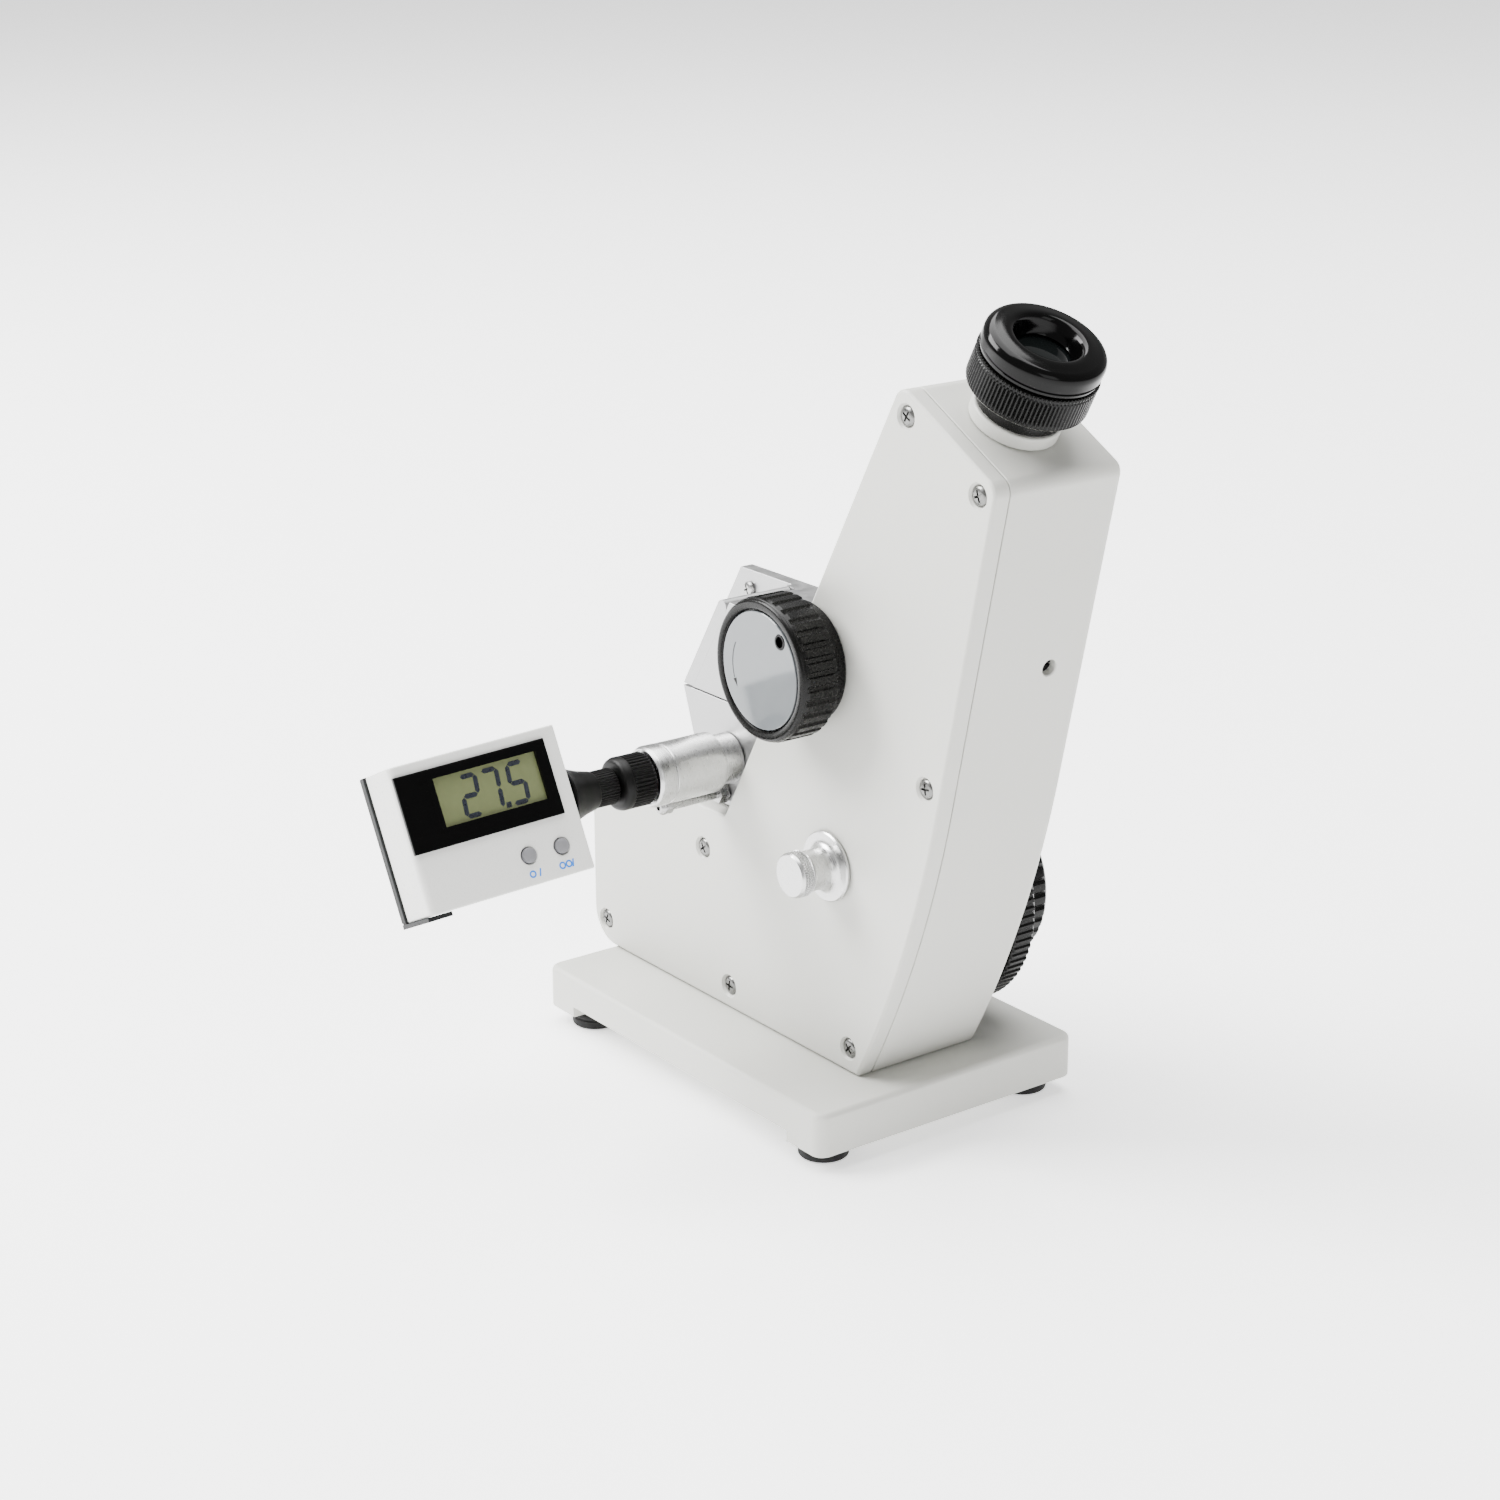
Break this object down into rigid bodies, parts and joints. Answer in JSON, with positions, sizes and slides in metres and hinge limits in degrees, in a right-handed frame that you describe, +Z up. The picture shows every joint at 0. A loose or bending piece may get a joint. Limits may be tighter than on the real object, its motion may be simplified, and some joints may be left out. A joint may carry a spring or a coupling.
{
  "type": "bench refractometer",
  "caption": "Bench optical refractometer: slanted casing with eyepiece on top, hinged prism unit, side control wheels and a digital thermometer on a flat base.",
  "frame": {"origin": "on the bench under the middle of the instrument's bounding box", "axes": "+X towards the eyepiece and the user, +Y towards the far side with the index knob, +Z up"},
  "size_m": [0.1982, 0.184, 0.2469],
  "materials": {
    "painted_body": "warm off-white fine-textured enamel",
    "rubber_black": "matt black rubber",
    "steel": "bright turned steel",
    "black_plastic": "semi-matt black moulding with ribs",
    "gloss_black": "glossy black moulding",
    "optical_glass": "polished clear glass",
    "aluminium": "satin machined aluminium",
    "mirror": "front-surface mirror",
    "grey_plate": "glossy grey label plate",
    "white_plastic": "satin white moulding",
    "display_black": "glossy black display window",
    "button_grey": "matt grey button"
  },
  "bodies": {
    "frame": {"base_plate": "painted_body", "foot_front_near": "rubber_black", "foot_front_far": "rubber_black", "foot_back_near": "rubber_black", "foot_back_far": "rubber_black", "base_bolt_front": "steel", "base_bolt_back": "steel", "casing": "painted_body", "side_cover": "painted_body", "cover_screw_1": "steel", "cover_screw_2": "steel", "cover_screw_3": "steel", "cover_screw_4": "steel", "cover_screw_5": "steel", "cover_screw_6": "steel", "cover_screw_7": "steel", "eyepiece_collar": "painted_body", "eyepiece_tube": "black_plastic", "telescope_barrel": "black_plastic", "objective_lens": "optical_glass", "reticle": "optical_glass", "dispersion_scale_ring": "aluminium", "condenser_seat": "aluminium", "lower_prism_housing": "aluminium", "refracting_prism": "optical_glass", "prism_hinge_pin": "steel", "nozzle_near": "steel", "nozzle_far": "steel", "thermometer_sleeve": "aluminium", "mirror_pivot_pin": "steel"},
    "calibration": {"calibration_screw": "steel"},
    "eyepiece_slide": {"eyecup": "gloss_black", "eye_lens": "optical_glass"},
    "focusing": {"focusing_ring": "black_plastic"},
    "prism_lid": {"upper_prism_housing": "aluminium", "incident_prism": "optical_glass", "plate_screw": "steel"},
    "shield": {"light_shield": "aluminium"},
    "reflector": {"reflector_frame": "aluminium", "reflector_mirror": "mirror"},
    "lock": {"lock_wheel": "black_plastic", "lock_disc": "grey_plate", "lock_spindle": "steel"},
    "index": {"index_wheel": "black_plastic", "index_knob": "black_plastic", "index_shaft": "steel", "scale_disc": "optical_glass"},
    "swing": {"swing_mirror": "mirror"},
    "dispersion": {"dispersion_knob": "black_plastic", "dispersion_shaft": "steel"},
    "cell_lower": {"compensator_cell_lower": "steel"},
    "cell_upper": {"compensator_cell_upper": "steel"},
    "condenser": {"condenser_cap": "aluminium"},
    "gland": {"gland_nut": "black_plastic"},
    "thermometer": {"thermometer_probe": "black_plastic", "display_front": "white_plastic", "display_back": "black_plastic", "display_window": "display_black"},
    "power": {"power_button": "button_grey"},
    "unit": {"unit_button": "button_grey"}
  },
  "joints": [
    {"name": "prism_hinge", "type": "hinge", "parent": "frame", "child": "prism_lid", "pos_m": [-0.03137, 0.05857, 0.1153], "axis": [-1, 0, 0], "range_deg": [0, 100]},
    {"name": "shield_hinge", "type": "hinge", "parent": "prism_lid", "child": "shield", "pos_m": [-0.03352, 0.04347, 0.14401], "axis": [0, 1, 0], "range_deg": [0, 90]},
    {"name": "reflector_hinge", "type": "hinge", "parent": "frame", "child": "reflector", "pos_m": [-0.04142, 0.04347, 0.08544], "axis": [0, -1, 0], "range_deg": [0, 60]},
    {"name": "lock_turn", "type": "hinge", "parent": "frame", "child": "lock", "pos_m": [0.01453, 0.04347, 0.1401], "axis": [0, -1, 0], "range_deg": [0, 90]},
    {"name": "index_turn", "type": "hinge", "parent": "frame", "child": "index", "pos_m": [0.01663, 0.04347, 0.061], "axis": [0, 1, 0], "range_deg": [-60, 60]},
    {"name": "swing_turn", "type": "hinge", "parent": "frame", "child": "swing", "pos_m": [0.01263, 0.04347, 0.101], "axis": [0, 1, 0], "range_deg": [-10, 10]},
    {"name": "dispersion_turn", "type": "hinge", "parent": "frame", "child": "dispersion", "pos_m": [0.03692, 0.04347, 0.15003], "axis": [0, 1, 0], "range_deg": [-180, 180]},
    {"name": "cell_lower_turn", "type": "hinge", "parent": "frame", "child": "cell_lower", "pos_m": [0.03692, 0.04347, 0.15003], "axis": [0.4741, 0, 0.8805], "range_deg": [-180, 180]},
    {"name": "cell_upper_turn", "type": "hinge", "parent": "frame", "child": "cell_upper", "pos_m": [0.03692, 0.04347, 0.15003], "axis": [0.4741, 0, 0.8805], "range_deg": [-180, 180]},
    {"name": "diopter_turn", "type": "hinge", "parent": "eyepiece_slide", "child": "focusing", "pos_m": [0.07233, 0.04347, 0.2158], "axis": [0.4741, 0, 0.8805], "range_deg": [0, 300]},
    {"name": "diopter_slide", "type": "slide", "parent": "frame", "child": "eyepiece_slide", "axis": [0.4741, 0, 0.8805], "range_m": [0, 0.0021]},
    {"name": "condenser_turn", "type": "hinge", "parent": "frame", "child": "condenser", "pos_m": [0.02363, 0.04347, 0.0803], "axis": [0, -1, 0], "range_deg": [-180, 180]},
    {"name": "gland_nut_turn", "type": "hinge", "parent": "frame", "child": "gland", "pos_m": [-0.02917, 0.04347, 0.0983], "axis": [0, -1, 0], "range_deg": [-180, 180]},
    {"name": "thermometer_turn", "type": "hinge", "parent": "frame", "child": "thermometer", "pos_m": [-0.02917, 0.04347, 0.0983], "axis": [0, -1, 0], "range_deg": [-90, 90]},
    {"name": "power_press", "type": "slide", "parent": "thermometer", "child": "power", "axis": [-0.9011, 0.0593, -0.4296], "range_m": [0, 0.0008], "stiffness_N_per_m": 300},
    {"name": "unit_press", "type": "slide", "parent": "thermometer", "child": "unit", "axis": [-0.9011, 0.0593, -0.4296], "range_m": [0, 0.0008], "stiffness_N_per_m": 300},
    {"name": "calibration_turn", "type": "hinge", "parent": "frame", "child": "calibration", "pos_m": [0.08, 0.05217, 0.1477], "axis": [0.976, 0, -0.2176], "range_deg": [-90, 90]}
  ],
  "couplings": [
    {"joint": "swing_turn", "follows": "index_turn", "ratio": 0.15},
    {"joint": "cell_lower_turn", "follows": "dispersion_turn", "ratio": 1},
    {"joint": "cell_upper_turn", "follows": "dispersion_turn", "ratio": -1},
    {"joint": "diopter_slide", "follows": "diopter_turn", "m_per_rad": 0.0004}
  ]
}
